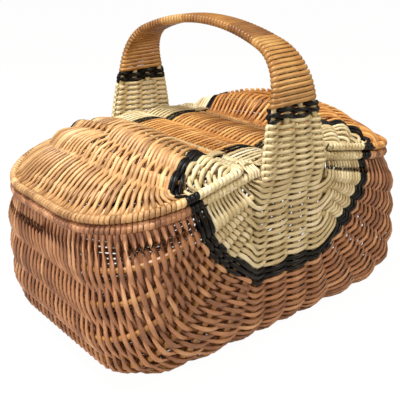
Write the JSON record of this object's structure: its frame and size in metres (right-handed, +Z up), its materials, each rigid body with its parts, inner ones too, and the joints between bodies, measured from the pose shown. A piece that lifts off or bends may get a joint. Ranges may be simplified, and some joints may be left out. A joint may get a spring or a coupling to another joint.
{
  "type": "picnic basket",
  "caption": "Oblong woven willow basket on splayed ribs, with two domed half lids hinged on a fixed centre strip under a wide arched carrying handle.",
  "frame": {"origin": "bottom centre of the basket, on the floor midway between the two poles", "axes": "+X along the basket to the right lid, +Y from the front pole to the back pole, +Z up"},
  "size_m": [0.44, 0.2884, 0.3424],
  "materials": {
    "buff_willow": "matt split willow, warm brown",
    "black_willow": "dyed split willow, glossy black",
    "white_willow": "peeled white split willow",
    "white_cane": "peeled cane, plain weave over the hoops",
    "black_cane": "dyed cane, glossy black",
    "wrap_cane": "cane wrap, honey brown",
    "rib_rods": "round peeled willow rod",
    "frame_rods": "round willow rod wrapped with split willow",
    "hinge_willow": "twisted willow loop"
  },
  "bodies": {
    "basket": {"body_band_back": "black_willow", "body_band_front": "black_willow", "body_weave": "buff_willow", "body_white_back": "white_willow", "body_white_front": "white_willow", "handle_band_back": "black_cane", "handle_band_front": "black_cane", "handle_grip_wrap": "wrap_cane", "handle_hoop_1": "rib_rods", "handle_hoop_2": "rib_rods", "handle_hoop_3": "rib_rods", "handle_hoop_4": "rib_rods", "handle_sleeve_back": "white_cane", "handle_sleeve_front": "white_cane", "left_hinge_bar": "frame_rods", "left_rib_1": "rib_rods", "left_rib_2": "rib_rods", "left_rib_3": "rib_rods", "left_rib_4": "rib_rods", "left_rib_5": "rib_rods", "left_rib_6": "rib_rods", "right_hinge_bar": "frame_rods", "right_rib_1": "rib_rods", "right_rib_2": "rib_rods", "right_rib_3": "rib_rods", "right_rib_4": "rib_rods", "right_rib_5": "rib_rods", "right_rib_6": "rib_rods", "rim_hoop": "frame_rods", "strip_band_back": "black_willow", "strip_band_front": "black_willow", "strip_stakes": "rib_rods", "strip_weave": "buff_willow", "strip_white_back": "white_willow", "strip_white_front": "white_willow"},
    "left_lid": {"left_hinge_rings": "hinge_willow", "left_lid_band_back": "black_willow", "left_lid_band_front": "black_willow", "left_lid_frame": "frame_rods", "left_lid_rib_1": "rib_rods", "left_lid_rib_2": "rib_rods", "left_lid_rib_3": "rib_rods", "left_lid_rib_4": "rib_rods", "left_lid_weave": "buff_willow", "left_lid_white_back": "white_willow", "left_lid_white_front": "white_willow"},
    "right_lid": {"right_hinge_rings": "hinge_willow", "right_lid_band_back": "black_willow", "right_lid_band_front": "black_willow", "right_lid_frame": "frame_rods", "right_lid_rib_1": "rib_rods", "right_lid_rib_2": "rib_rods", "right_lid_rib_3": "rib_rods", "right_lid_rib_4": "rib_rods", "right_lid_weave": "buff_willow", "right_lid_white_back": "white_willow", "right_lid_white_front": "white_willow"}
  },
  "joints": [
    {"name": "left_lid_hinge", "type": "hinge", "parent": "basket", "child": "left_lid", "pos_m": [-0.05, 0, 0.20667], "axis": [0, 1, 0], "range_deg": [0, 88]},
    {"name": "right_lid_hinge", "type": "hinge", "parent": "basket", "child": "right_lid", "pos_m": [0.05, 0, 0.20667], "axis": [0, -1, 0], "range_deg": [0, 88]}
  ]
}
